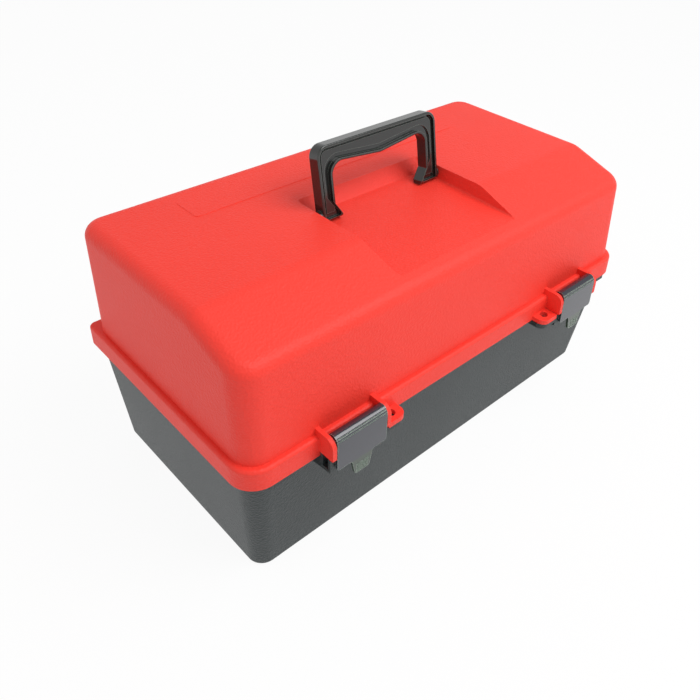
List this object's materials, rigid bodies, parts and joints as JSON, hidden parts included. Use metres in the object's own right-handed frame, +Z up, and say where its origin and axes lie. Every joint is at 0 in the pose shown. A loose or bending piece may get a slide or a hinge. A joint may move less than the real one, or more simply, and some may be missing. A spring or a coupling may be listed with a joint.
{
  "type": "tool box",
  "caption": "Plastic tool box with a hinged domed lid, folding carrying handle, front latches with padlock eyes and cantilever trays that lift with the lid.",
  "frame": {"origin": "centre of the footprint's bounding box at the resting face of the base", "axes": "+X along the length towards the right end seen from the latches, -Y towards the latches, +Z up"},
  "size_m": [0.4, 0.23, 0.2493],
  "materials": {
    "base_plastic": "fine even grain, satin",
    "lid_plastic": "fine even grain, satin",
    "handle_plastic": "smooth, half gloss",
    "latch_plastic": "smooth, half gloss",
    "tray_plastic": "fine even grain",
    "arm_steel": "zinc plated sheet",
    "rivet_steel": "zinc plated wire"
  },
  "bodies": {
    "base": {"base_shell": "base_plastic", "base_rivets": "rivet_steel", "hinge_pin_left": "rivet_steel", "hinge_pin_right": "rivet_steel"},
    "lid": {"lid_shell": "lid_plastic", "lid_rivets": "rivet_steel"},
    "handle": {"handle": "handle_plastic"},
    "latch_left": {"latch_left": "latch_plastic"},
    "latch_right": {"latch_right": "latch_plastic"},
    "lift_arm_left": {"lift_arm_left": "arm_steel", "link_rivet_left": "rivet_steel"},
    "lift_arm_right": {"lift_arm_right": "arm_steel", "link_rivet_right": "rivet_steel"},
    "lower_front_arm_left": {"lower_front_arm_left": "arm_steel"},
    "lower_front_arm_right": {"lower_front_arm_right": "arm_steel"},
    "lower_tray": {"lower_tray": "tray_plastic", "lower_tray_rivets": "rivet_steel"},
    "upper_tray": {"upper_tray": "tray_plastic", "upper_tray_rivets": "rivet_steel"},
    "upper_front_arm_left": {"upper_front_arm_left": "arm_steel"},
    "upper_front_arm_right": {"upper_front_arm_right": "arm_steel"},
    "lid_link_left": {"lid_link_left": "arm_steel"},
    "lid_link_right": {"lid_link_right": "arm_steel"}
  },
  "joints": [
    {"name": "lid_hinge", "type": "hinge", "parent": "base", "child": "lid", "pos_m": [0, 0.1105, 0.099], "axis": [-1, 0, 0], "range_deg": [0, 100]},
    {"name": "lift_arm_left", "type": "hinge", "parent": "base", "child": "lift_arm_left", "pos_m": [0, 0.072, 0.104], "axis": [-1, 0, 0], "range_deg": [0, 100]},
    {"name": "lift_arm_right", "type": "hinge", "parent": "base", "child": "lift_arm_right", "pos_m": [0, 0.072, 0.104], "axis": [-1, 0, 0], "range_deg": [0, 100]},
    {"name": "lower_front_arm_left", "type": "hinge", "parent": "base", "child": "lower_front_arm_left", "pos_m": [0, -0.018, 0.09], "axis": [-1, 0, 0], "range_deg": [0, 100]},
    {"name": "lower_front_arm_right", "type": "hinge", "parent": "base", "child": "lower_front_arm_right", "pos_m": [0, -0.018, 0.09], "axis": [-1, 0, 0], "range_deg": [0, 100]},
    {"name": "lower_tray_level", "type": "hinge", "parent": "lift_arm_left", "child": "lower_tray", "pos_m": [0, 0.01721, 0.09921], "axis": [-1, 0, 0], "range_deg": [-100, 0]},
    {"name": "upper_tray_level", "type": "hinge", "parent": "lift_arm_left", "child": "upper_tray", "pos_m": [0, -0.03633, 0.1231], "axis": [-1, 0, 0], "range_deg": [-100, 0]},
    {"name": "upper_front_arm_left", "type": "hinge", "parent": "lower_tray", "child": "upper_front_arm_left", "pos_m": [0, -0.02199, 0.10251], "axis": [-1, 0, 0], "range_deg": [0, 100]},
    {"name": "upper_front_arm_right", "type": "hinge", "parent": "lower_tray", "child": "upper_front_arm_right", "pos_m": [0, -0.02199, 0.10251], "axis": [-1, 0, 0], "range_deg": [0, 100]},
    {"name": "lid_link_left", "type": "hinge", "parent": "lid", "child": "lid_link_left", "pos_m": [0, 0.06954, 0.12768], "axis": [-1, 0, 0], "range_deg": [-100, 0]},
    {"name": "lid_link_right", "type": "hinge", "parent": "lid", "child": "lid_link_right", "pos_m": [0, 0.06954, 0.12768], "axis": [-1, 0, 0], "range_deg": [-100, 0]},
    {"name": "handle_fold", "type": "hinge", "parent": "lid", "child": "handle", "pos_m": [0, 0.002, 0.1978], "axis": [1, 0, 0], "range_deg": [0, 100]},
    {"name": "latch_left", "type": "hinge", "parent": "lid", "child": "latch_left", "pos_m": [0, -0.11, 0.1162], "axis": [-1, 0, 0], "range_deg": [0, 110]},
    {"name": "latch_right", "type": "hinge", "parent": "lid", "child": "latch_right", "pos_m": [0, -0.11, 0.1162], "axis": [-1, 0, 0], "range_deg": [0, 110]}
  ],
  "couplings": [
    {"joint": "lift_arm_left", "follows": "lid_hinge", "ratio": 1},
    {"joint": "lift_arm_right", "follows": "lid_hinge", "ratio": 1},
    {"joint": "lower_front_arm_left", "follows": "lid_hinge", "ratio": 1},
    {"joint": "lower_front_arm_right", "follows": "lid_hinge", "ratio": 1},
    {"joint": "lower_tray_level", "follows": "lid_hinge", "ratio": -1},
    {"joint": "upper_tray_level", "follows": "lid_hinge", "ratio": -1},
    {"joint": "upper_front_arm_left", "follows": "lid_hinge", "ratio": 1},
    {"joint": "upper_front_arm_right", "follows": "lid_hinge", "ratio": 1},
    {"joint": "lid_link_left", "follows": "lid_hinge", "ratio": -1},
    {"joint": "lid_link_right", "follows": "lid_hinge", "ratio": -1}
  ]
}
